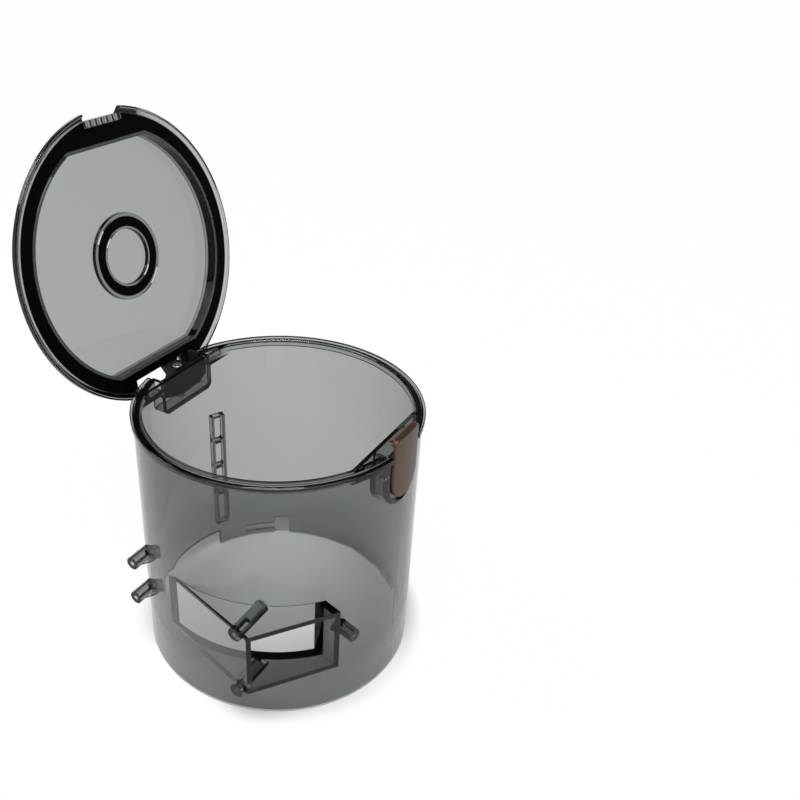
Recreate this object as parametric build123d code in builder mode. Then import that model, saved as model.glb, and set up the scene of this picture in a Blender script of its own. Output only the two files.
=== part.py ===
"""Cyclone dust bin with a hinged lid, in millimetres.

The origin is the centre of the lower mouth on the plane of the foot. +Z is up, the latch is on +X,
the hinge on -X with its axis along Y, and the tangential inlet is on the -Y side. The lid is drawn
closed and then swung to its open stop, which is the rest position.
"""
import os
from math import cos, radians, sin

from build123d import *

# Bin wall, foot and rim
BIN_HEIGHT = 110.0
WALL_OUTER = 57.0
WALL_INNER = 54.5
RIM_OUTER = 58.0
RIM_INNER = 53.4
RIM_DEPTH = 2.2
RIM_LIP_DEPTH = 3.0
RIM_EDGE = 0.4
GROOVE_INNER = 55.0
GROOVE_OUTER = 56.3
GROOVE_DEPTH = 0.8
SOCKET_RADIUS = 55.1
SOCKET_DEPTH = 9.0
SOCKET_TAPER = 11.0
FOOT_NOTCH_HEIGHT = 8.0
FOOT_NOTCH_START = 157.0
FOOT_NOTCH_SWEEP = 46.0

# Bayonet tracks in the socket
TRACK_RADIUS = 56.2
TRACK_STARTS = (119.0, 29.0)
TRACK_ENTRY_SWEEP = 8.0
TRACK_ENTRY_HEIGHT = 9.75
TRACK_LOCK_SWEEP = 23.0
TRACK_LOCK_LOW = 2.5
TRACK_LOCK_HIGH = 6.0

# Tangential inlet duct
INLET_ANGLE = -14.0
INLET_LOW = 28.0
INLET_HIGH = 56.0
INLET_PLATE = 2.0
INLET_WALL = 2.0
INLET_LEFT_LENGTH = 47.0
INLET_RIGHT_OFFSET = 22.75
INLET_RIGHT_LENGTH = 60.0
INLET_INSIDE_LENGTH = 39.0
INLET_TIP = (-0.3, 56.2)
INLET_RAMP = (5.1, 52.8)
INLET_OVERCUT = 8.0

# Screw bosses
BOSS_RADIUS = 2.75
BOSS_HOLE_RADIUS = 1.0
BOSS_HOLE_DEPTH = 8.0
LEFT_BOSS_X = -32.6
LEFT_BOSS_HEIGHTS = (33.0, 51.0)
LEFT_BOSS_END = -55.7
LEFT_BOSS_LENGTH = 11.0
DUCT_BOSS_X = 27.35
DUCT_BOSS_HEIGHTS = (27.9, 56.1)
DUCT_BOSS_END = -67.5
DUCT_BOSS_LENGTH = 17.0
SIDE_BOSS_BASE = (47.0, -29.5)
SIDE_BOSS_HEIGHT = 42.0
SIDE_BOSS_LENGTH = 9.6
WEB_THICKNESS = 1.4
WEB_SHORT = 3.0
WEB_DROP = 3.5
WEB_FOOT = 45.5

# Ladder rail on the outside of the wall
RAIL_ANGLE = 154.7
RAIL_WIDTH = 6.8
RAIL_LOW = 12.0
RAIL_HIGH = 73.0
RAIL_OUTER = 60.0
RAIL_RIM = 1.2
RAIL_RIBS = (30.0, 45.0, 59.0)
RAIL_RIB_THICKNESS = 1.6
RAIL_CELL_CORNER = 1.0

# Hinge pocket in the wall
HINGE_X = -53.5
HINGE_Z = 104.1
OPEN_ANGLE = 102.0
POCKET_WALL = 1.6
HINGE_FACE_X = -46.4
HINGE_POCKET_HALF = 15.3
HINGE_POCKET_LOW = 94.5
HINGE_POCKET_CORNER = 3.0
HINGE_SLOT_LOW = 99.5
HINGE_STEP_START = 160.0
HINGE_STEP_SWEEP = 40.0
HINGE_STEP_DEPTH = 0.7
LEDGE_LOW = 105.0
LEDGE_BITE = 0.5
SCREW_X = -52.0
POST_RADIUS = 1.95
POST_TOP = 101.4

# Hinge hardware
FREE_FIT = 0.02
PIN_RADIUS = 1.2
PIN_START = 1.7
PIN_END = 13.2
PIN_CLEARANCE = 0.05
BARREL_RADIUS = 2.6
BRACKET_TOP = 109.4
LUG_TOP = 110.5
BRACKET_BACK_X = -48.3
BRACKET_PLATE = 1.6
BRACKET_HALF = 13.2
BRACKET_END_LOW = 102.0
BRACKET_MIDDLE_LOW = 99.0
LUG_HALF = 3.6
LUG_FRONT_X = -49.5
LUG_BACK_X = -55.6
EAR_START = 11.2
EAR_FRONT_X = -51.0
EAR_TOP = 111.2
SCREW_RADIUS = 1.1
SCREW_HEAD_RADIUS = 2.1
SCREW_HEAD_HEIGHT = 1.5
SCREW_LENGTH = 9.5
SCREW_PLAY = 0.1
HEAD_PLAY = 0.15
DRIVE_RADIUS = 1.0
DRIVE_DEPTH = 0.9
DRIVE_SLOT = 0.6
SCREW_HEAD_EDGE = 0.4
ARM_START = 4.1
ARM_END = 11.0
ARM_NECK_HALF = 2.0
ARM_SHOULDER_LOW = 6.5
ARM_SHOULDER_HIGH = 9.5
ARM_LEAF_START = 2.6
ARM_LEAF_END = 12.6
ARM_LEAF_LOW = 112.4
ARM_LEAF_HIGH = 117.6
ARM_LEAF_THICKNESS = 1.8
ARM_LEAF_CORNER = 1.0
PIN_CHAMFER = 0.3

# Lid, drawn closed
SEAL_FACE = 110.2
SEAL_THICKNESS = 2.2
SEAL_INNER = 51.3
SEAL_OUTER = 56.5
SEAL_LEG = 1.4
SEAL_LEG_TOP = 115.2
SEAL_GAP = 0.3
SEAL_PLAY = 0.06
SEAL_EDGE = 0.4
LATCH_CHORD = 46.7
HINGE_CHORD = -45.5
LID_RADIUS = 59.3
LIP_INNER = 58.35
LIP_LOW = 109.4
LIP_HIGH = 111.1
LIP_EDGE = 0.25
SHOULDER_RADIUS = 56.6
FLANGE_HIGH = 113.8
WINDOW_LOW = 116.0
WINDOW_HIGH = 118.6
DISH_WALL = 1.4
DISH_EDGE = 0.5
LATCH_NOTCH_X = 55.9
LATCH_NOTCH_HALF = 9.9
HINGE_NOTCH_X = -48.9
HINGE_NOTCH_NEAR = 16.0
HINGE_NOTCH_FAR = 13.6
CATCH_INNER_X = 53.4
CATCH_DROP = 0.6
CATCH_RIBS = (-9.0, -6.0, -3.0, 0.0, 3.0, 6.0, 9.0)
CATCH_RIB_THICKNESS = 1.2
CENTRE_RING_OUTER = 17.7
CENTRE_RING_INNER = 11.4
CENTRE_RING_LOW = 114.4
CENTRE_SEAL_OUTER = 16.2
CENTRE_SEAL_INNER = 12.4
CENTRE_SEAL_LOW = 114.2
CENTRE_SEAL_THICKNESS = 1.8

# Latch pocket, button and lever
LATCH_FACE_X = 48.0
LATCH_POCKET_HALF = 11.8
LATCH_POCKET_CENTRE = 97.2
BUTTON_FACE_X = 57.75
BUTTON_BACK_X = 55.3
BUTTON_HALF = 9.3
BUTTON_CENTRE = 98.05
BUTTON_TOP = 116.2
BUTTON_CORNER = 3.0
BUTTON_EDGE = 0.7
BUTTON_RECESS_X = 56.2
BUTTON_RECESS_LOW = 109.5
HOOK_HALF = 7.0
HOOK_TIP_X = 53.2
HOOK_LOW = 114.1
HOOK_TIP = 0.5
LATCH_PIVOT_X = 53.0
LATCH_PIVOT_Z = 100.5
LATCH_PIN_RADIUS = 1.0
LATCH_PIN_HALF = 11.7
LATCH_HUB_RADIUS = 2.2
LATCH_HUB_HALF = 9.8
LEVER_BACK_X = 54.0
LEVER_HALF = 9.0
LEVER_TOP = 109.4
SPRING_Z = 92.6
SPRING_RADIUS = 2.2
SPRING_WIRE = 0.6
SPRING_TURNS = 3
SPRING_GAP = 0.03
SPIGOT_RADIUS = 1.6
SPIGOT_HEIGHT = 1.0

# Worked out from the dimensions above
SEAL_BACK = SEAL_FACE + SEAL_THICKNESS
DISH_INNER = SEAL_INNER - DISH_WALL
DISH_OUTER = SEAL_INNER + SEAL_LEG + DISH_WALL
LATCH_BACK_X = LATCH_FACE_X + POCKET_WALL
LATCH_INNER_HALF = LATCH_POCKET_HALF - POCKET_WALL
HINGE_BACK_X = HINGE_FACE_X - POCKET_WALL
HINGE_INNER_HALF = HINGE_POCKET_HALF - POCKET_WALL
BEYOND = 2 * BIN_HEIGHT
FLOW = Vector(cos(radians(INLET_ANGLE)), sin(radians(INLET_ANGLE)))
ACROSS = Vector(-FLOW.Y, FLOW.X)
HINGE_AXIS = Axis((HINGE_X, 0, HINGE_Z), (0, -1, 0))
HINGE_PLANE = Plane(origin=(HINGE_X, 0, HINGE_Z), x_dir=(1, 0, 0), z_dir=(0, -1, 0))


def flow_point(along, offset):
    """Plan point of the inlet: a distance along the flow, and an offset from the bin axis to the -Y side."""
    return FLOW * along - ACROSS * offset


def ring_sector(inner, outer, start, sweep):
    """Draw a sector of a ring about the bin axis in the open sketch."""
    with BuildLine() as sector:
        outer_arc = CenterArc((0, 0), outer, start, sweep)
        inner_arc = CenterArc((0, 0), inner, start, sweep)
        Line(outer_arc @ 0, inner_arc @ 0)
        Line(outer_arc @ 1, inner_arc @ 1)
    make_face(sector.edges())


def round_bottom(half_width, centre, top):
    """Draw an upright outline with a full-round bottom in the open sketch."""
    with BuildLine() as outline:
        left = Line((-half_width, top), (-half_width, centre))
        bottom = CenterArc((0, centre), half_width, 180, 180)
        right = Line(bottom @ 1, (half_width, top))
        Line(right @ 1, left @ 0)
    make_face(outline.edges())


def lid_band(outer, growth):
    """Draw a disc with the lid's two straight sides, moved out by the growth, in the open sketch."""
    Circle(outer)
    with Locations((HINGE_CHORD - growth, 0)):
        width = LATCH_CHORD - HINGE_CHORD + 2 * growth
        Rectangle(width, BEYOND, align=(Align.MIN, Align.CENTER), mode=Mode.INTERSECT)


def notches(latch_gap, hinge_gap, mode):
    """Draw or cut the places of the latch and of the hinge, grown by the gaps, in the open sketch."""
    with Locations((LATCH_NOTCH_X - latch_gap, 0)):
        latch_width = 2 * LATCH_NOTCH_HALF
        Rectangle(LID_RADIUS, latch_width, align=(Align.MIN, Align.CENTER), mode=mode)
    with Locations((HINGE_NOTCH_X + hinge_gap, (HINGE_NOTCH_FAR - HINGE_NOTCH_NEAR) / 2)):
        hinge_width = HINGE_NOTCH_NEAR + HINGE_NOTCH_FAR + 2 * hinge_gap
        Rectangle(LID_RADIUS, hinge_width, align=(Align.MAX, Align.CENTER), mode=mode)


def seal_outline(play):
    """Draw the flat outline of the lid's seal band, grown by the play, in the open sketch."""
    Circle(SEAL_OUTER + play)
    notches(LATCH_NOTCH_X - CATCH_INNER_X + SEAL_GAP - play, SEAL_GAP - play, Mode.SUBTRACT)
    with BuildSketch() as window:
        lid_band(SEAL_INNER - play, -play)
    add(window.sketch, mode=Mode.SUBTRACT)


def seal_leg_outline(play):
    """Draw the outline of the seal's leg beside the dish's wall, grown by the play, in the open sketch."""
    lid_band(SEAL_INNER + SEAL_LEG + play, SEAL_LEG + play)
    with BuildSketch() as window:
        lid_band(SEAL_INNER - play, -play)
    add(window.sketch, mode=Mode.SUBTRACT)


def side_plane(x):
    """Plane that faces +X at the given X, with its local x along Y and its local y up."""
    return Plane(origin=(x, 0, 0), x_dir=(0, 1, 0), z_dir=(1, 0, 0))


def boss_plane(point, height, direction):
    """Plane on a boss end: its normal points out of the hole."""
    return Plane(origin=(point.X, point.Y, height), x_dir=(0, 0, 1), z_dir=(direction.X, direction.Y, 0))


OUTWARD = Vector(0, -1)
BOSS_ENDS = [boss_plane(Vector(LEFT_BOSS_X, LEFT_BOSS_END), z, OUTWARD) for z in LEFT_BOSS_HEIGHTS]
BOSS_ENDS += [boss_plane(Vector(DUCT_BOSS_X, DUCT_BOSS_END), z, OUTWARD) for z in DUCT_BOSS_HEIGHTS]
BOSS_LENGTHS = [LEFT_BOSS_LENGTH] * 2 + [DUCT_BOSS_LENGTH] * 2 + [SIDE_BOSS_LENGTH]
SIDE_BOSS_END = Vector(*SIDE_BOSS_BASE) + FLOW * SIDE_BOSS_LENGTH
BOSS_ENDS.append(boss_plane(SIDE_BOSS_END, SIDE_BOSS_HEIGHT, FLOW))

# Bin body: one clear moulding
with BuildPart() as bin_body:
    # Plain cylinder, inlet duct, bosses with webs, and rail, still solid inside
    with BuildSketch(Plane.XZ):
        with BuildLine():
            Polyline(
                (0, 0),
                (WALL_OUTER, 0),
                (WALL_OUTER, BIN_HEIGHT - RIM_DEPTH),
                (RIM_OUTER, BIN_HEIGHT - RIM_DEPTH),
                (RIM_OUTER, BIN_HEIGHT - RIM_EDGE),
                (RIM_OUTER - RIM_EDGE, BIN_HEIGHT),
                (0, BIN_HEIGHT),
                close=True,
            )
        make_face()
    revolve(axis=Axis.Z)
    with BuildSketch(Plane.XY.offset(INLET_LOW)):
        with BuildLine():
            Polyline(
                flow_point(0, WALL_OUTER),
                flow_point(INLET_LEFT_LENGTH, WALL_OUTER),
                flow_point(INLET_RIGHT_LENGTH, INLET_RIGHT_OFFSET),
                flow_point(INLET_INSIDE_LENGTH, INLET_RIGHT_OFFSET),
                close=True,
            )
        make_face()
    extrude(amount=INLET_HIGH - INLET_LOW)
    for end, length in zip(BOSS_ENDS, BOSS_LENGTHS):
        with BuildSketch(end):
            Circle(BOSS_RADIUS)
        extrude(amount=-length)
    for height in LEFT_BOSS_HEIGHTS:
        web_plane = Plane(origin=(LEFT_BOSS_X, 0, height), x_dir=(0, -1, 0), z_dir=(1, 0, 0))
        with BuildSketch(web_plane):
            with BuildLine():
                Polyline(
                    (WEB_FOOT, 0),
                    (-LEFT_BOSS_END - WEB_SHORT, 0),
                    (-LEFT_BOSS_END - WEB_SHORT, BOSS_RADIUS),
                    (WEB_FOOT, BOSS_RADIUS + WEB_DROP),
                    close=True,
                )
            make_face()
        extrude(amount=WEB_THICKNESS / 2, both=True)
    rail_out = Vector(cos(radians(RAIL_ANGLE)), sin(radians(RAIL_ANGLE)))
    rail_along = (-rail_out.Y, rail_out.X, 0)
    rail_middle = (RAIL_LOW + RAIL_HIGH) / 2
    rail_foot = rail_out * WALL_INNER
    rail_face = rail_out * WALL_OUTER
    with BuildSketch(Plane((rail_foot.X, rail_foot.Y, rail_middle), x_dir=rail_along, z_dir=rail_out)):
        Rectangle(RAIL_WIDTH, RAIL_HIGH - RAIL_LOW)
    extrude(amount=RAIL_OUTER - WALL_INNER)
    rail_stops = (RAIL_LOW, *RAIL_RIBS, RAIL_HIGH)
    for low, high in zip(rail_stops, rail_stops[1:]):
        cell_middle = (low + high) / 2
        cell_height = high - low - RAIL_RIB_THICKNESS
        cell_plane = Plane((rail_face.X, rail_face.Y, cell_middle), x_dir=rail_along, z_dir=rail_out)
        with BuildSketch(cell_plane):
            RectangleRounded(RAIL_WIDTH - 2 * RAIL_RIM, cell_height, RAIL_CELL_CORNER)
        extrude(amount=RAIL_OUTER, mode=Mode.SUBTRACT)

    # Bore, socket and rim lip
    with BuildSketch(Plane.XZ):
        with BuildLine():
            Polyline(
                (0, 0),
                (SOCKET_RADIUS, 0),
                (SOCKET_RADIUS, SOCKET_DEPTH),
                (WALL_INNER, SOCKET_DEPTH + SOCKET_TAPER),
                (WALL_INNER, BIN_HEIGHT - RIM_LIP_DEPTH),
                (RIM_INNER, BIN_HEIGHT - RIM_LIP_DEPTH),
                (RIM_INNER, BIN_HEIGHT - RIM_EDGE),
                (RIM_INNER + RIM_EDGE, BIN_HEIGHT),
                (0, BIN_HEIGHT),
                close=True,
            )
        make_face()
    revolve(axis=Axis.Z, mode=Mode.SUBTRACT)

    # Passage of the inlet, which starts at the slanted end of the wall
    with BuildSketch(Plane.XY.offset(INLET_LOW + INLET_PLATE)):
        with BuildLine():
            Polyline(
                flow_point(*INLET_TIP),
                flow_point(INLET_RIGHT_LENGTH, WALL_OUTER - INLET_WALL),
                flow_point(INLET_RIGHT_LENGTH + INLET_WALL, INLET_RIGHT_OFFSET + INLET_WALL),
                flow_point(INLET_INSIDE_LENGTH - INLET_OVERCUT, INLET_RIGHT_OFFSET + INLET_WALL),
                flow_point(*INLET_RAMP),
                close=True,
            )
        make_face()
    extrude(amount=INLET_HIGH - INLET_LOW - 2 * INLET_PLATE, mode=Mode.SUBTRACT)
    for end in BOSS_ENDS:
        with BuildSketch(end):
            Circle(BOSS_HOLE_RADIUS)
        extrude(amount=-BOSS_HOLE_DEPTH, mode=Mode.SUBTRACT)

    # Foot notch and bayonet tracks
    with BuildSketch():
        ring_sector(RIM_INNER, RAIL_OUTER, FOOT_NOTCH_START, FOOT_NOTCH_SWEEP)
    extrude(amount=FOOT_NOTCH_HEIGHT, mode=Mode.SUBTRACT)
    for turn in TRACK_STARTS:
        with BuildSketch():
            ring_sector(RIM_INNER, TRACK_RADIUS, turn, TRACK_ENTRY_SWEEP)
        extrude(amount=TRACK_ENTRY_HEIGHT, mode=Mode.SUBTRACT)
        with BuildSketch(Plane.XY.offset(TRACK_LOCK_LOW)):
            ring_sector(RIM_INNER, TRACK_RADIUS, turn, TRACK_LOCK_SWEEP)
        extrude(amount=TRACK_LOCK_HIGH - TRACK_LOCK_LOW, mode=Mode.SUBTRACT)

    # Chord ledges inside the rim, at the latch and at the hinge
    with BuildSketch(Plane.XY.offset(LEDGE_LOW)):
        Circle(WALL_INNER + LEDGE_BITE)
        with Locations(((LATCH_FACE_X + HINGE_FACE_X) / 2, 0)):
            Rectangle(LATCH_FACE_X - HINGE_FACE_X, BEYOND, mode=Mode.SUBTRACT)
    extrude(amount=BIN_HEIGHT - LEDGE_LOW)
    with BuildSketch(Plane.XY.offset(LEDGE_LOW + POCKET_WALL)):
        Circle(RIM_INNER)
        with Locations(((LATCH_BACK_X + HINGE_BACK_X) / 2, 0)):
            Rectangle(LATCH_BACK_X - HINGE_BACK_X, BEYOND, mode=Mode.SUBTRACT)
    extrude(amount=BIN_HEIGHT - LEDGE_LOW, mode=Mode.SUBTRACT)

    # Hinge pocket with its screw post and the slot through the wall
    with BuildSketch(side_plane(HINGE_FACE_X)):
        with Locations((0, (HINGE_POCKET_LOW + BIN_HEIGHT) / 2)):
            outline = Rectangle(2 * HINGE_POCKET_HALF, BIN_HEIGHT - HINGE_POCKET_LOW)
        fillet(outline.vertices().group_by(Axis.Y)[0], HINGE_POCKET_CORNER)
    extrude(amount=HINGE_X - HINGE_FACE_X)
    with BuildSketch(Plane.XY.offset(HINGE_POCKET_LOW + POCKET_WALL)):
        Circle(WALL_INNER)
        with Locations((HINGE_BACK_X, 0)):
            Rectangle(RIM_OUTER, 2 * HINGE_INNER_HALF, align=(Align.MAX, Align.CENTER), mode=Mode.INTERSECT)
    extrude(amount=BIN_HEIGHT - HINGE_POCKET_LOW, mode=Mode.SUBTRACT)
    with BuildSketch(Plane.XY.offset(HINGE_SLOT_LOW)):
        with Locations((HINGE_BACK_X, 0)):
            Rectangle(RIM_OUTER, 2 * HINGE_INNER_HALF, align=(Align.MAX, Align.CENTER))
    extrude(amount=BIN_HEIGHT - HINGE_SLOT_LOW, mode=Mode.SUBTRACT)
    with BuildSketch(Plane.XY.offset(HINGE_POCKET_LOW + POCKET_WALL)):
        with Locations((SCREW_X, 0)):
            Circle(POST_RADIUS)
            Circle(SCREW_RADIUS + FREE_FIT, mode=Mode.SUBTRACT)
    extrude(amount=POST_TOP - HINGE_POCKET_LOW - POCKET_WALL)

    # Latch pocket, open at the top and to the outside, with the pin holes and the spring spigot
    with BuildSketch(side_plane(LATCH_FACE_X)):
        round_bottom(LATCH_POCKET_HALF, LATCH_POCKET_CENTRE, BIN_HEIGHT)
    extrude(amount=WALL_INNER + LEDGE_BITE - LATCH_FACE_X)
    with BuildSketch(side_plane(LATCH_BACK_X)):
        round_bottom(LATCH_INNER_HALF, LATCH_POCKET_CENTRE, BEYOND)
    extrude(amount=RIM_OUTER, mode=Mode.SUBTRACT)
    with BuildSketch(Plane.XZ.offset(-LATCH_POCKET_HALF)):
        with Locations((LATCH_PIVOT_X, LATCH_PIVOT_Z)):
            Circle(LATCH_PIN_RADIUS + FREE_FIT)
    extrude(amount=2 * LATCH_POCKET_HALF, mode=Mode.SUBTRACT)
    with BuildSketch(side_plane(LATCH_BACK_X)):
        with Locations((0, SPRING_Z)):
            Circle(SPIGOT_RADIUS)
    extrude(amount=SPIGOT_HEIGHT)

    # Groove in the rim, and the lower step where the lid swings past
    with BuildSketch(Plane.XY.offset(BIN_HEIGHT)):
        Circle(GROOVE_OUTER)
        Circle(GROOVE_INNER, mode=Mode.SUBTRACT)
    extrude(amount=-GROOVE_DEPTH, mode=Mode.SUBTRACT)
    with BuildSketch(Plane.XY.offset(BIN_HEIGHT)):
        ring_sector(GROOVE_OUTER, RAIL_OUTER, HINGE_STEP_START, HINGE_STEP_SWEEP)
    extrude(amount=-HINGE_STEP_DEPTH, mode=Mode.SUBTRACT)

# Lid: flange with a lip round the rim, dished window, centre ring and catch, drawn closed
with BuildPart() as lid:
    with BuildSketch(Plane.XZ):
        with BuildLine():
            Polyline(
                (0, SEAL_FACE),
                (LIP_INNER, SEAL_FACE),
                (LIP_INNER, LIP_LOW + LIP_EDGE),
                (LIP_INNER + LIP_EDGE, LIP_LOW),
                (LID_RADIUS - LIP_EDGE, LIP_LOW),
                (LID_RADIUS, LIP_LOW + LIP_EDGE),
                (LID_RADIUS, LIP_HIGH),
                (SHOULDER_RADIUS, FLANGE_HIGH),
                (0, FLANGE_HIGH),
                close=True,
            )
        make_face()
    revolve(axis=Axis.Z)
    with BuildSketch(Plane.XY.offset(SEAL_FACE)):
        lid_band(DISH_OUTER, SEAL_LEG + DISH_WALL)
    extrude(amount=WINDOW_HIGH - SEAL_FACE)
    fillet(lid.faces().sort_by(Axis.Z)[-1].edges(), DISH_EDGE)
    with BuildSketch(Plane.XY.offset(SEAL_FACE)):
        lid_band(DISH_INNER, -DISH_WALL)
    extrude(amount=WINDOW_LOW - SEAL_FACE, mode=Mode.SUBTRACT)
    with BuildSketch(Plane.XY.offset(CENTRE_RING_LOW)):
        Circle(CENTRE_RING_OUTER)
        Circle(CENTRE_RING_INNER, mode=Mode.SUBTRACT)
    extrude(amount=WINDOW_LOW - CENTRE_RING_LOW)
    with BuildSketch(Plane.XY.offset(CENTRE_RING_LOW)):
        Circle(CENTRE_SEAL_OUTER + SEAL_PLAY)
        Circle(CENTRE_SEAL_INNER - SEAL_PLAY, mode=Mode.SUBTRACT)
    extrude(amount=CENTRE_SEAL_LOW + CENTRE_SEAL_THICKNESS - CENTRE_RING_LOW, mode=Mode.SUBTRACT)
    with BuildSketch(Plane.XY.offset(SEAL_FACE)):
        seal_outline(SEAL_PLAY)
    extrude(amount=SEAL_THICKNESS, mode=Mode.SUBTRACT)
    with BuildSketch(Plane.XY.offset(SEAL_FACE)):
        seal_leg_outline(SEAL_PLAY)
    extrude(amount=SEAL_LEG_TOP - SEAL_FACE, mode=Mode.SUBTRACT)
    with BuildSketch(Plane.XY.offset(LIP_LOW)):
        notches(0, 0, Mode.ADD)
    extrude(amount=WINDOW_HIGH - LIP_LOW, mode=Mode.SUBTRACT)
    for rib in CATCH_RIBS:
        with BuildSketch(Plane.XY.offset(SEAL_FACE)):
            with Locations((CATCH_INNER_X, rib)):
                rib_length = LATCH_NOTCH_X - CATCH_INNER_X
                Rectangle(rib_length, CATCH_RIB_THICKNESS, align=(Align.MIN, Align.CENTER))
        extrude(amount=-CATCH_DROP)

# Lid seal: flat band with a leg behind the dish's wall, drawn closed
with BuildPart() as lid_seal:
    with BuildSketch(Plane.XY.offset(SEAL_FACE)):
        seal_outline(0)
    extrude(amount=SEAL_THICKNESS)
    with BuildSketch(Plane.XY.offset(SEAL_BACK)):
        seal_leg_outline(0)
    extrude(amount=SEAL_LEG_TOP - SEAL_BACK)

with BuildPart() as centre_seal:
    with BuildSketch(Plane.XY.offset(CENTRE_SEAL_LOW)):
        Circle(CENTRE_SEAL_OUTER)
        Circle(CENTRE_SEAL_INNER, mode=Mode.SUBTRACT)
    extrude(amount=CENTRE_SEAL_THICKNESS)
    fillet(centre_seal.faces().sort_by(Axis.Z)[0].edges(), SEAL_EDGE)

# Hinge arm: a leaf on the lid's hinge side, a neck and one knuckle on the pin, drawn closed
with BuildPart() as lid_hinge_arm:
    leaf_back = HINGE_NOTCH_X - HINGE_X
    leaf_front = leaf_back - ARM_LEAF_THICKNESS
    leaf_low = ARM_LEAF_LOW - HINGE_Z
    leaf_high = ARM_LEAF_HIGH - HINGE_Z
    with BuildSketch(HINGE_PLANE.offset(-ARM_LEAF_END)):
        with Locations((leaf_back, leaf_low)):
            Rectangle(ARM_LEAF_THICKNESS, leaf_high - leaf_low, align=(Align.MAX, Align.MIN))
    extrude(amount=ARM_LEAF_END - ARM_LEAF_START)
    fillet(lid_hinge_arm.edges().filter_by(Axis.X), ARM_LEAF_CORNER)
    with BuildSketch(HINGE_PLANE.offset(-ARM_END)):
        Circle(BARREL_RADIUS)
        with BuildLine():
            Polyline(
                (-ARM_NECK_HALF, 0),
                (-ARM_NECK_HALF, ARM_SHOULDER_HIGH),
                (leaf_front, leaf_high - ARM_LEAF_CORNER),
                (leaf_front, leaf_low),
                (ARM_NECK_HALF, ARM_SHOULDER_LOW),
                (ARM_NECK_HALF, 0),
                close=True,
            )
        make_face()
        Circle(PIN_RADIUS + PIN_CLEARANCE, mode=Mode.SUBTRACT)
    extrude(amount=ARM_END - ARM_START)

with BuildPart() as hinge_pin:
    with BuildSketch(HINGE_PLANE.offset(-PIN_END)):
        Circle(PIN_RADIUS)
    extrude(amount=PIN_END - PIN_START)
    chamfer(hinge_pin.edges(), PIN_CHAMFER)

# Hinge bracket: a curved plate behind the pocket's face, with a lug and an ear that grip the pin
with BuildPart() as hinge_bracket:
    with BuildSketch(side_plane(BRACKET_BACK_X)):
        with BuildLine():
            lower = ThreePointArc(
                (-BRACKET_HALF, BRACKET_END_LOW), (0, BRACKET_MIDDLE_LOW), (BRACKET_HALF, BRACKET_END_LOW)
            )
            Polyline(lower @ 1, (BRACKET_HALF, BRACKET_TOP), (-BRACKET_HALF, BRACKET_TOP), lower @ 0)
        make_face()
    extrude(amount=-BRACKET_PLATE)
    with BuildSketch(HINGE_PLANE):
        Circle(BARREL_RADIUS)
        with Locations((LUG_BACK_X - HINGE_X, POST_TOP - HINGE_Z)):
            Rectangle(LUG_FRONT_X - LUG_BACK_X, LUG_TOP - POST_TOP, align=(Align.MIN, Align.MIN))
    extrude(amount=LUG_HALF, both=True)
    with BuildSketch(HINGE_PLANE.offset(-BRACKET_HALF)):
        Circle(BARREL_RADIUS)
        ear_reach = BRACKET_BACK_X - BRACKET_PLATE / 2 - HINGE_X
        Rectangle(ear_reach, 2 * BARREL_RADIUS, align=(Align.MIN, Align.CENTER))
        with Locations((LUG_BACK_X - HINGE_X, 0)):
            Rectangle(EAR_FRONT_X - LUG_BACK_X, EAR_TOP - HINGE_Z, align=(Align.MIN, Align.MIN))
    extrude(amount=BRACKET_HALF - EAR_START)
    with BuildSketch(HINGE_PLANE.offset(-BRACKET_HALF)):
        Circle(PIN_RADIUS + FREE_FIT)
    extrude(amount=BRACKET_HALF - PIN_START, mode=Mode.SUBTRACT)
    with Locations((SCREW_X, 0, LUG_TOP)):
        CounterBoreHole(
            SCREW_RADIUS + SCREW_PLAY,
            SCREW_HEAD_RADIUS + HEAD_PLAY,
            SCREW_HEAD_HEIGHT,
            LUG_TOP - POST_TOP,
        )

with BuildPart() as hinge_screw:
    with BuildSketch(Plane.XY.offset(LUG_TOP)):
        with Locations((SCREW_X, 0)):
            Circle(SCREW_HEAD_RADIUS)
    extrude(amount=-SCREW_HEAD_HEIGHT)
    fillet(hinge_screw.edges().sort_by(Axis.Z)[-1], SCREW_HEAD_EDGE)
    with BuildSketch(Plane.XY.offset(LUG_TOP)):
        with Locations((SCREW_X, 0)):
            Rectangle(2 * DRIVE_RADIUS, DRIVE_SLOT)
            Rectangle(DRIVE_SLOT, 2 * DRIVE_RADIUS)
    extrude(amount=-DRIVE_DEPTH, mode=Mode.SUBTRACT)
    with BuildSketch(Plane.XY.offset(LUG_TOP - SCREW_HEAD_HEIGHT)):
        with Locations((SCREW_X, 0)):
            Circle(SCREW_RADIUS)
    extrude(amount=-SCREW_LENGTH)

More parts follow.
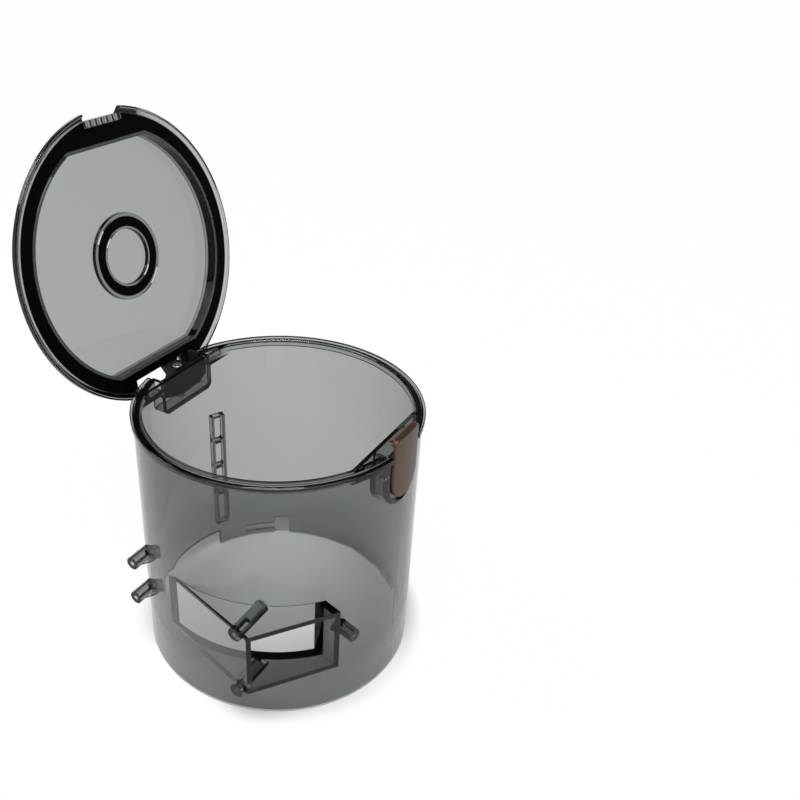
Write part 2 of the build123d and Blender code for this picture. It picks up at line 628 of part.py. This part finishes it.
# Latch button: round-bottomed face plate with the hook that holds the lid's flange
with BuildPart() as latch_button:
    with BuildSketch(side_plane(BUTTON_BACK_X)) as button_face:
        round_bottom(BUTTON_HALF, BUTTON_CENTRE, BUTTON_TOP)
        fillet(button_face.vertices().group_by(Axis.Y)[-1], BUTTON_CORNER)
    extrude(amount=BUTTON_FACE_X - BUTTON_BACK_X)
    with BuildSketch():
        Circle(BUTTON_FACE_X)
    extrude(amount=BEYOND, mode=Mode.INTERSECT)
    fillet(latch_button.faces().filter_by(GeomType.CYLINDER).sort_by(SortBy.AREA)[-1].edges(), BUTTON_EDGE)
    with BuildSketch(Plane.XZ):
        with BuildLine():
            Polyline(
                (BUTTON_BACK_X, HOOK_LOW),
                (HOOK_TIP_X, HOOK_LOW),
                (HOOK_TIP_X, HOOK_LOW + HOOK_TIP),
                (BUTTON_BACK_X, BUTTON_TOP - BUTTON_EDGE),
                close=True,
            )
        make_face()
    extrude(amount=HOOK_HALF, both=True)
    with BuildSketch(side_plane(BUTTON_BACK_X)):
        with Locations((0, BUTTON_RECESS_LOW)):
            Rectangle(2 * RIM_OUTER, HOOK_LOW - BUTTON_RECESS_LOW, align=(Align.CENTER, Align.MIN))
    extrude(amount=BUTTON_RECESS_X - BUTTON_BACK_X, mode=Mode.SUBTRACT)

with BuildPart() as latch_lever:
    with BuildSketch(side_plane(LEVER_BACK_X)):
        round_bottom(LEVER_HALF, BUTTON_CENTRE, LEVER_TOP)
    extrude(amount=BUTTON_BACK_X - LEVER_BACK_X)
    with BuildSketch(Plane.XZ):
        with Locations((LATCH_PIVOT_X, LATCH_PIVOT_Z)):
            Circle(LATCH_HUB_RADIUS)
            Rectangle(BUTTON_BACK_X - LATCH_PIVOT_X, 2 * LATCH_HUB_RADIUS, align=(Align.MIN, Align.CENTER))
    extrude(amount=LATCH_HUB_HALF, both=True)
    with BuildSketch(Plane.XZ):
        with Locations((LATCH_PIVOT_X, LATCH_PIVOT_Z)):
            Circle(LATCH_PIN_RADIUS + PIN_CLEARANCE)
    extrude(amount=LATCH_HUB_HALF, both=True, mode=Mode.SUBTRACT)
    with BuildSketch(side_plane(LEVER_BACK_X)):
        with Locations((0, SPRING_Z)):
            Circle(SPIGOT_RADIUS)
    extrude(amount=-SPIGOT_HEIGHT)

with BuildPart() as latch_pin:
    with BuildSketch(Plane.XZ):
        with Locations((LATCH_PIVOT_X, LATCH_PIVOT_Z)):
            Circle(LATCH_PIN_RADIUS)
    extrude(amount=LATCH_PIN_HALF, both=True)
    chamfer(latch_pin.edges(), PIN_CHAMFER)

with BuildPart() as latch_spring:
    spring_reach = LEVER_BACK_X - LATCH_BACK_X - SPRING_WIRE - 2 * SPRING_GAP
    spring_start = (LATCH_BACK_X + SPRING_WIRE / 2 + SPRING_GAP, 0, SPRING_Z)
    with BuildLine() as coil:
        pitch = spring_reach / SPRING_TURNS
        Helix(pitch, spring_reach, SPRING_RADIUS, center=spring_start, direction=(1, 0, 0))
    with BuildSketch(Plane(origin=coil.line @ 0, z_dir=coil.line % 0)):
        Circle(SPRING_WIRE / 2)
    sweep()

# Finished pieces, with the lid and what it carries swung to the open stop
FIXED = {
    "bin_body": bin_body.part,
    "hinge_pin": hinge_pin.part,
    "hinge_bracket": hinge_bracket.part,
    "hinge_screw": hinge_screw.part,
    "latch_button": latch_button.part,
    "latch_lever": latch_lever.part,
    "latch_pin": latch_pin.part,
    "latch_spring": latch_spring.part,
}
SWUNG = {
    "lid": lid.part,
    "lid_seal": lid_seal.part,
    "centre_seal": centre_seal.part,
    "lid_hinge_arm": lid_hinge_arm.part,
}
pieces = dict(FIXED)
for name, closed in SWUNG.items():
    pieces[name] = closed.rotate(HINGE_AXIS, OPEN_ANGLE)

os.makedirs("parts", exist_ok=True)
for name, piece in pieces.items():
    piece.label = name
    export_step(piece, f"parts/{name}.step")
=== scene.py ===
"""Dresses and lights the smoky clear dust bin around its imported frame."""

import logging
import math
from dataclasses import dataclass
from enum import Enum
from typing import Any, Union

import bpy
from mathutils import Matrix, Vector

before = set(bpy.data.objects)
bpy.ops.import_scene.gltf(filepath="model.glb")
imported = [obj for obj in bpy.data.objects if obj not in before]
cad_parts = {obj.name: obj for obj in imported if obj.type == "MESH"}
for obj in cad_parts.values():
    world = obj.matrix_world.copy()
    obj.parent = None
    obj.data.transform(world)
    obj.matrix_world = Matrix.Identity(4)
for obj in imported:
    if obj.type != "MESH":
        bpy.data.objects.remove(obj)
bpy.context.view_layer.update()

LOG = logging.getLogger("dust_bin")

Colour = tuple[float, float, float]

WHITE: Colour = (1.0, 1.0, 1.0)
FULL = 1.0


def opaque(colour: Colour) -> tuple[float, float, float, float]:
    """Gives a colour its full opacity."""
    return (*colour, FULL)


class Slot(Enum):
    """The finishes that the record names."""

    SMOKY_CLEAR = "smoky_clear"
    BLACK_RUBBER = "black_rubber"
    BLACK_PLASTIC = "black_plastic"
    COPPER_FINISH = "copper_finish"
    STEEL = "steel"


class Value:
    """One number that varies over a surface, so that shader maths reads as Python."""

    def __init__(self, sheet: "NodeSheet", socket: bpy.types.NodeSocket) -> None:
        """Keeps the sheet that the socket is on."""
        self.sheet = sheet
        self.socket = socket

    def _with(self, operation: str, first: "Number", second: "Number") -> "Value":
        """Adds one Math node.

        Args:
            operation: the Math node's operation.
            first: its first input.
            second: its second input.

        Returns:
            The node's result.
        """
        node = self.sheet.node("ShaderNodeMath", {"operation": operation}, {0: first, 1: second})
        return Value(self.sheet, node.outputs[0])

    def __add__(self, other: "Number") -> "Value":
        """Adds."""
        return self._with("ADD", self, other)

    def __radd__(self, other: "Number") -> "Value":
        """Adds to a number on the left."""
        return self._with("ADD", other, self)

    def __sub__(self, other: "Number") -> "Value":
        """Subtracts."""
        return self._with("SUBTRACT", self, other)

    def __rsub__(self, other: "Number") -> "Value":
        """Subtracts from a number on the left."""
        return self._with("SUBTRACT", other, self)

    def __mul__(self, other: "Number") -> "Value":
        """Multiplies."""
        return self._with("MULTIPLY", self, other)

    def __rmul__(self, other: "Number") -> "Value":
        """Multiplies a number on the left."""
        return self._with("MULTIPLY", other, self)

    def at_most(self, limit: "Number") -> "Value":
        """Keeps the value from passing a limit."""
        return self._with("MINIMUM", self, limit)


Number = Union[Value, float]


class NodeSheet:
    """The node tree of one material or of the world."""

    def __init__(self, tree: bpy.types.NodeTree) -> None:
        """Starts the tree empty."""
        self.tree = tree
        tree.nodes.clear()

    def node(self, kind: str, settings: dict[str, Any], sockets: dict[Any, Any]) -> bpy.types.Node:
        """Adds one node.

        Args:
            kind: the node's type.
            settings: its own properties, set first.
            sockets: a value, a Value or another node's socket for each input, by name or number.

        Returns:
            The new node.
        """
        made = self.tree.nodes.new(kind)
        for name, setting in settings.items():
            setattr(made, name, setting)
        for key, given in sockets.items():
            source = given.socket if isinstance(given, Value) else given
            if isinstance(source, bpy.types.NodeSocket):
                self.tree.links.new(source, made.inputs[key])
            else:
                made.inputs[key].default_value = source
        return made

    def noise(self, per_metre: float, detail: float) -> Value:
        """Makes a cloudy pattern that is fixed to the piece.

        Args:
            per_metre: how many clouds there are in a metre.
            detail: how many finer layers it has.

        Returns:
            The pattern, about 0 to 1.
        """
        place = self.node("ShaderNodeTexCoord", {}, {})
        made = self.node(
            "ShaderNodeTexNoise",
            {},
            {"Vector": place.outputs["Object"], "Scale": per_metre, "Detail": detail},
        )
        return Value(self, made.outputs["Fac"])

    def ease(self, value: bpy.types.NodeSocket, start: float, end: float, low: float, high: float) -> Value:
        """Goes softly from one number to another.

        Args:
            value: what it follows.
            start: where it still is the low number.
            end: where it has become the high number.
            low: the number at the start.
            high: the number at the end.

        Returns:
            The number for the value.
        """
        made = self.node(
            "ShaderNodeMapRange",
            {"interpolation_type": "SMOOTHSTEP"},
            {"Value": value, "From Min": start, "From Max": end, "To Min": low, "To Max": high},
        )
        return Value(self, made.outputs["Result"])

    def bump(self, height: Value, depth: float, strength: float) -> bpy.types.NodeSocket:
        """Turns a pattern into a relief.

        Args:
            height: the pattern.
            depth: the relief's depth in metres.
            strength: how much of it shows.

        Returns:
            The normal of the relief.
        """
        made = self.node("ShaderNodeBump", {}, {"Strength": strength, "Distance": depth, "Height": height})
        return made.outputs["Normal"]


@dataclass(frozen=True)
class Finish:
    """A material with a colour and a gloss, to be given to nodes."""

    slot: Slot
    colour: Colour
    roughness: float

    def material(self) -> bpy.types.Material:
        """Makes the material, with its surface linked to the output."""
        made = bpy.data.materials.new(self.slot.value)
        made.use_nodes = True
        sheet = NodeSheet(made.node_tree)
        out = sheet.node("ShaderNodeOutputMaterial", {}, {})
        sheet.tree.links.new(self.surface(sheet), out.inputs["Surface"])
        inside = self.inside(sheet)
        if inside is not None:
            sheet.tree.links.new(inside, out.inputs["Volume"])
        return made

    def surface(self, sheet: NodeSheet) -> bpy.types.NodeSocket:
        """Makes the surface; each finish has its own."""
        raise NotImplementedError

    def inside(self, sheet: NodeSheet) -> Union[bpy.types.NodeSocket, None]:
        """Makes what the light passes inside; only clear finishes have one."""
        return None


@dataclass(frozen=True)
class SmokyClear(Finish):
    """Polished clear moulding with a grey smoke tint through its thickness, and painted shade along its
    edges, standing in for the light lost inside the wall.
    """

    tint: Colour = (0.0, 0.065, 0.04)
    density: float = 316.0
    index: float = 1.4
    mirror_tint: Colour = (0.6, 0.6, 0.6)
    shade: Colour = (0.6, 0.61, 0.605)
    wave_size: float = 55.0
    wave_detail: float = 1.0
    wave_depth: float = 0.00006
    wave_strength: float = 0.25
    scuff_size: float = 900.0
    scuff_detail: float = 3.0
    scuff_share: float = 0.03
    # The edge fields below set the painted shade along the edges: how the edges are found, and how dark and
    # glossy the painted shade is.
    edge_radius: float = 0.0005
    edge_samples: int = 12
    edge_gain: float = 9.0
    painted_edge_shade_strength: float = 0.9
    painted_edge_shade_colour: Colour = (0.004, 0.004, 0.004)
    painted_edge_shade_roughness: float = 0.15

    def painted_edge_shade_share(self, sheet: NodeSheet) -> Value:
        """Finds the moulded edges, where a rounded normal leaves the flat one, and gives the share of
        painted shade there.
        """
        flat = sheet.node("ShaderNodeNewGeometry", {}, {})
        rounded = sheet.node("ShaderNodeBevel", {"samples": self.edge_samples}, {"Radius": self.edge_radius})
        agree = sheet.node(
            "ShaderNodeVectorMath",
            {"operation": "DOT_PRODUCT"},
            {0: flat.outputs["Normal"], 1: rounded.outputs["Normal"]},
        )
        bend = self.edge_gain * (FULL - Value(sheet, agree.outputs["Value"]))
        return self.painted_edge_shade_strength * bend.at_most(FULL)

    def surface(self, sheet: NodeSheet) -> bpy.types.NodeSocket:
        """Makes the polished skin, which has the faint waves of a moulding, painted shade along its edges,
        and lets lamp light through.
        """
        waves = sheet.noise(self.wave_size, self.wave_detail)
        scuffs = sheet.noise(self.scuff_size, self.scuff_detail)
        skin = sheet.node(
            "ShaderNodeBsdfPrincipled",
            {},
            {
                "Base Color": opaque(self.colour),
                "Roughness": self.roughness + self.scuff_share * scuffs,
                "IOR": self.index,
                "Transmission Weight": FULL,
                "Specular Tint": opaque(self.mirror_tint),
                "Normal": sheet.bump(waves, self.wave_depth, self.wave_strength),
            },
        )
        # Painted shade: a near-black skin mixed in along the edges, standing in for the light lost inside
        # the wall.
        painted_edge_shade = sheet.node(
            "ShaderNodeBsdfPrincipled",
            {},
            {"Base Color": opaque(self.painted_edge_shade_colour), "Roughness": self.painted_edge_shade_roughness},
        )
        with_painted_edge_shade = sheet.node(
            "ShaderNodeMixShader",
            {},
            {0: self.painted_edge_shade_share(sheet), 1: skin.outputs["BSDF"], 2: painted_edge_shade.outputs["BSDF"]},
        )
        path = sheet.node("ShaderNodeLightPath", {}, {})
        veil = sheet.node("ShaderNodeBsdfTransparent", {}, {"Color": opaque(self.shade)})
        lit = sheet.node(
            "ShaderNodeMixShader",
            {},
            {0: path.outputs["Is Shadow Ray"], 1: with_painted_edge_shade.outputs["Shader"], 2: veil.outputs["BSDF"]},
        )
        return lit.outputs["Shader"]

    def inside(self, sheet: NodeSheet) -> Union[bpy.types.NodeSocket, None]:
        """Makes the smoke tint, which darkens with the thickness."""
        smoke = sheet.node(
            "ShaderNodeVolumeAbsorption", {}, {"Color": opaque(self.tint), "Density": self.density}
        )
        return smoke.outputs["Volume"]


@dataclass(frozen=True)
class GrainedBlack(Finish):
    """Black skin with a fine grain and a gloss that varies in patches."""

    sheen_level: float = 0.2
    grain_size: float = 3500.0
    grain_detail: float = 2.0
    grain_depth: float = 0.00005
    grain_strength: float = 0.4
    patch_size: float = 200.0
    patch_detail: float = 2.0
    patch_share: float = 0.12

    def surface(self, sheet: NodeSheet) -> bpy.types.NodeSocket:
        """Makes the grained skin."""
        grain = sheet.noise(self.grain_size, self.grain_detail)
        patches = sheet.noise(self.patch_size, self.patch_detail)
        skin = sheet.node(
            "ShaderNodeBsdfPrincipled",
            {},
            {
                "Base Color": opaque(self.colour),
                "Roughness": self.roughness + self.patch_share * patches,
                "Specular IOR Level": self.sheen_level,
                "Normal": sheet.bump(grain, self.grain_depth, self.grain_strength),
            },
        )
        return skin.outputs["BSDF"]


@dataclass(frozen=True)
class BlackPlastic(GrainedBlack):
    """Moulded black plastic with a fine spark-eroded grain."""


@dataclass(frozen=True)
class BlackRubber(GrainedBlack):
    """Soft silicone seal with a satin skin and fine dust-like unevenness."""

    sheen_level: float = 0.02
    grain_size: float = 2200.0
    grain_detail: float = 4.0
    grain_depth: float = 0.00004
    grain_strength: float = 0.3
    patch_size: float = 120.0
    patch_share: float = 0.18


@dataclass(frozen=True)
class CopperFinish(Finish):
    """Copper-brown metallic coat on a moulded button."""

    metal: float = 0.85
    coat: float = 0.04
    coat_roughness: float = 0.2
    flake_size: float = 6000.0
    flake_detail: float = 1.0
    flake_depth: float = 0.00002
    flake_strength: float = 0.35
    patch_size: float = 90.0
    patch_detail: float = 2.0
    patch_share: float = 0.1

    def surface(self, sheet: NodeSheet) -> bpy.types.NodeSocket:
        """Makes the coat, with the glitter of its flakes."""
        flakes = sheet.noise(self.flake_size, self.flake_detail)
        patches = sheet.noise(self.patch_size, self.patch_detail)
        skin = sheet.node(
            "ShaderNodeBsdfPrincipled",
            {},
            {
                "Base Color": opaque(self.colour),
                "Roughness": self.roughness + self.patch_share * patches,
                "Metallic": self.metal,
                "Coat Weight": self.coat,
                "Coat Roughness": self.coat_roughness,
                "Normal": sheet.bump(flakes, self.flake_depth, self.flake_strength),
            },
        )
        return skin.outputs["BSDF"]


@dataclass(frozen=True)
class Steel(Finish):
    """Bright plated steel of the screw, pins and spring."""

    mark_size: float = 4000.0
    mark_detail: float = 3.0
    mark_depth: float = 0.00002
    mark_strength: float = 0.3
    mark_share: float = 0.15

    def surface(self, sheet: NodeSheet) -> bpy.types.NodeSocket:
        """Makes the plated skin with fine drawing marks."""
        marks = sheet.noise(self.mark_size, self.mark_detail)
        skin = sheet.node(
            "ShaderNodeBsdfPrincipled",
            {},
            {
                "Base Color": opaque(self.colour),
                "Roughness": self.roughness + self.mark_share * marks,
                "Metallic": FULL,
                "Normal": sheet.bump(marks, self.mark_depth, self.mark_strength),
            },
        )
        return skin.outputs["BSDF"]


SMOKY_CLEAR = SmokyClear(Slot.SMOKY_CLEAR, (0.95, 0.95, 0.95), 0.012)
BLACK_RUBBER = BlackRubber(Slot.BLACK_RUBBER, (0.0012, 0.0012, 0.0012), 0.5)
BLACK_PLASTIC = BlackPlastic(Slot.BLACK_PLASTIC, (0.006, 0.006, 0.0065), 0.45)
COPPER_FINISH = CopperFinish(Slot.COPPER_FINISH, (0.087, 0.053, 0.029), 0.4)
STEEL = Steel(Slot.STEEL, (0.75, 0.75, 0.74), 0.2)


@dataclass
class SubAssembly:
    """Nodes that are one unit on the bench, with the finish of each."""

    def finishes(self) -> dict[str, Finish]:
        """Names the unit's nodes and their finishes; each unit has its own."""
        raise NotImplementedError

    def dress(self, shared: dict[Slot, bpy.types.Material]) -> None:
        """Gives each node its finish.

        Args:
            shared: the materials made so far, one for each slot, which this adds to.
        """
        for name, finish in self.finishes().items():
            if finish.slot not in shared:
                shared[finish.slot] = finish.material()
            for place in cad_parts[name].material_slots:
                place.material = shared[finish.slot]
            LOG.info("%s: %s in %s", type(self).__name__, name, finish.slot.value)


@dataclass
class Bin(SubAssembly):
    """The clear body with its inlet duct, bosses and rail."""

    moulding: Finish = SMOKY_CLEAR

    def finishes(self) -> dict[str, Finish]:
        """Names the body."""
        return {"bin_body": self.moulding}


@dataclass
class Lid(SubAssembly):
    """The clear lid with its two seals."""

    moulding: Finish = SMOKY_CLEAR
    seal: Finish = BLACK_RUBBER

    def finishes(self) -> dict[str, Finish]:
        """Names the lid and its seals."""
        return {"lid": self.moulding, "lid_seal": self.seal, "centre_seal": self.seal}


@dataclass
class Hinge(SubAssembly):
    """The arm, bracket, pin and screw that carry the lid."""

    moulding: Finish = BLACK_PLASTIC
    metal: Finish = STEEL

    def finishes(self) -> dict[str, Finish]:
        """Names the hinge's pieces."""
        return {
            "lid_hinge_arm": self.moulding,
            "hinge_bracket": self.moulding,
            "hinge_pin": self.metal,
            "hinge_screw": self.metal,
        }


@dataclass
class Latch(SubAssembly):
    """The button with its lever, pin and spring."""

    face: Finish = COPPER_FINISH
    moulding: Finish = BLACK_PLASTIC
    metal: Finish = STEEL

    def finishes(self) -> dict[str, Finish]:
        """Names the latch's pieces."""
        return {
            "latch_button": self.face,
            "latch_lever": self.moulding,
            "latch_pin": self.metal,
            "latch_spring": self.metal,
        }


@dataclass(frozen=True)
class Lamp:
    """One soft square lamp that faces the bin."""

    name: str
    place: tuple[float, float, float]
    side: float
    watts: float
    aim: tuple[float, float, float] = (0.0, 0.0, 0.09)

    def build(self) -> bpy.types.Object:
        """Hangs the lamp and turns it to the bin."""
        light = bpy.data.lights.new(self.name, "AREA")
        light.size = self.side
        light.energy = self.watts
        made = bpy.data.objects.new(self.name, light)
        made.location = self.place
        ahead = Vector(self.aim) - Vector(self.place)
        made.rotation_euler = ahead.to_track_quat("-Z", "Y").to_euler()
        bpy.context.collection.objects.link(made)
        return made


@dataclass
class Studio:
    """Pale floor, soft light and the camera of the picture."""

    picture_width: float = 800.0
    focal_pixels: float = 879.80
    centre_pixel: tuple[float, float] = (297.8, 371.3)
    camera_place: tuple[float, float, float] = (0.1705, -0.2454, 0.2880)
    turn_degrees: float = 33.324
    pitch_degrees: float = 28.858
    roll_degrees: float = 0.408
    sensor_mm: float = 36.0
    nearest: float = 0.01
    floor_side: float = 24.0
    floor_colour: Colour = (0.88, 0.88, 0.88)
    glow_start: float = 0.058
    glow_inside: float = 0.1
    direct_end: float = 0.066
    direct_glow: float = 0.985
    through_end: float = 0.11
    through_glow: float = 0.85
    wall_top: float = 0.22
    wall_strength: float = 1.0
    ceiling_start: float = 0.42
    ceiling_strength: float = 0.12
    lamps: tuple[Lamp, ...] = (
        Lamp("key", (0.3, -0.52, 1.4), 0.85, 22.0),
        Lamp("fill", (-0.9, -0.3, 0.9), 0.8, 6.0),
    )

    def camera(self) -> bpy.types.Object:
        """Makes the camera from its focal length, place and three turns."""
        lens = bpy.data.cameras.new("camera")
        lens.sensor_fit = "HORIZONTAL"
        lens.sensor_width = self.sensor_mm
        lens.lens = self.focal_pixels / self.picture_width * self.sensor_mm
        middle = self.picture_width / 2
        lens.shift_x = (middle - self.centre_pixel[0]) / self.picture_width
        lens.shift_y = (self.centre_pixel[1] - middle) / self.picture_width
        lens.clip_start = self.nearest
        turn = math.radians(self.turn_degrees)
        pitch = math.radians(self.pitch_degrees)
        roll = math.radians(self.roll_degrees)
        ahead = Vector(
            (-math.sin(turn) * math.cos(pitch), math.cos(turn) * math.cos(pitch), -math.sin(pitch))
        )
        right = Vector((math.cos(turn), math.sin(turn), 0.0))
        up = right.cross(ahead)
        rolled_right = math.cos(roll) * right + math.sin(roll) * up
        rolled_up = math.cos(roll) * up - math.sin(roll) * right
        turned = Matrix((rolled_right, rolled_up, -ahead)).transposed().to_4x4()
        made = bpy.data.objects.new("camera", lens)
        made.matrix_world = Matrix.Translation(self.camera_place) @ turned
        bpy.context.collection.objects.link(made)
        bpy.context.scene.camera = made
        return made

    def glow_share(self, sheet: NodeSheet) -> Value:
        """Tells how white the floor is to the eye, directly and in or through the plastic.

        Args:
            sheet: the floor's node tree.

        Returns:
            The share of the glow, which leaves the rest to the lit and shaded floor.
        """
        place = sheet.node("ShaderNodeTexCoord", {}, {})
        reach = sheet.node("ShaderNodeVectorMath", {"operation": "LENGTH"}, {0: place.outputs["Object"]})
        distance = reach.outputs["Value"]
        direct = sheet.ease(distance, self.glow_start, self.direct_end, self.glow_inside, self.direct_glow)
        through = sheet.ease(
            distance, self.glow_start, self.through_end, self.glow_inside, self.through_glow
        )
        path = sheet.node("ShaderNodeLightPath", {}, {})
        camera = Value(sheet, path.outputs["Is Camera Ray"])
        glossy = Value(sheet, path.outputs["Is Glossy Ray"])
        clear = Value(sheet, path.outputs["Is Transmission Ray"])
        return camera * direct + (glossy + clear).at_most(FULL) * through

    def floor(self) -> bpy.types.Object:
        """Makes the pale floor, which keeps the object's shadow."""
        half = self.floor_side / 2
        corners = [(-half, -half, 0.0), (half, -half, 0.0), (half, half, 0.0), (-half, half, 0.0)]
        mesh = bpy.data.meshes.new("floor")
        mesh.from_pydata(corners, [], [(0, 1, 2, 3)])
        made = bpy.data.objects.new("floor", mesh)
        bpy.context.collection.objects.link(made)
        cover = bpy.data.materials.new("floor")
        cover.use_nodes = True
        sheet = NodeSheet(cover.node_tree)
        matt = sheet.node("ShaderNodeBsdfDiffuse", {}, {"Color": opaque(self.floor_colour)})
        glow = sheet.node("ShaderNodeEmission", {}, {"Color": opaque(WHITE), "Strength": FULL})
        both = sheet.node(
            "ShaderNodeMixShader",
            {},
            {0: self.glow_share(sheet), 1: matt.outputs["BSDF"], 2: glow.outputs["Emission"]},
        )
        sheet.node("ShaderNodeOutputMaterial", {}, {"Surface": both.outputs["Shader"]})
        mesh.materials.append(cover)
        return made

    def sky(self) -> None:
        """Makes the surroundings: white low down, and grey overhead where the ceiling is."""
        world = bpy.data.worlds.new("studio")
        world.use_nodes = True
        bpy.context.scene.world = world
        sheet = NodeSheet(world.node_tree)
        place = sheet.node("ShaderNodeTexCoord", {}, {})
        parts = sheet.node("ShaderNodeSeparateXYZ", {}, {"Vector": place.outputs["Generated"]})
        strength = sheet.ease(
            parts.outputs["Z"], self.wall_top, self.ceiling_start, self.wall_strength, self.ceiling_strength
        )
        white = sheet.node("ShaderNodeBackground", {}, {"Color": opaque(WHITE), "Strength": strength})
        sheet.node("ShaderNodeOutputWorld", {}, {"Surface": white.outputs["Background"]})

    def build(self) -> None:
        """Makes the floor, the surroundings, the lamps and the camera."""
        self.floor()
        self.sky()
        for lamp in self.lamps:
            lamp.build()
        self.camera()


def main() -> None:
    """Dresses each unit, then sets the studio round it."""
    logging.basicConfig(level=logging.INFO, format="%(message)s")
    bpy.context.scene.view_settings.view_transform = "Standard"
    shared: dict[Slot, bpy.types.Material] = {}
    for unit in (Bin(), Lid(), Hinge(), Latch()):
        unit.dress(shared)
    Studio().build()


if __name__ == "__main__":
    main()
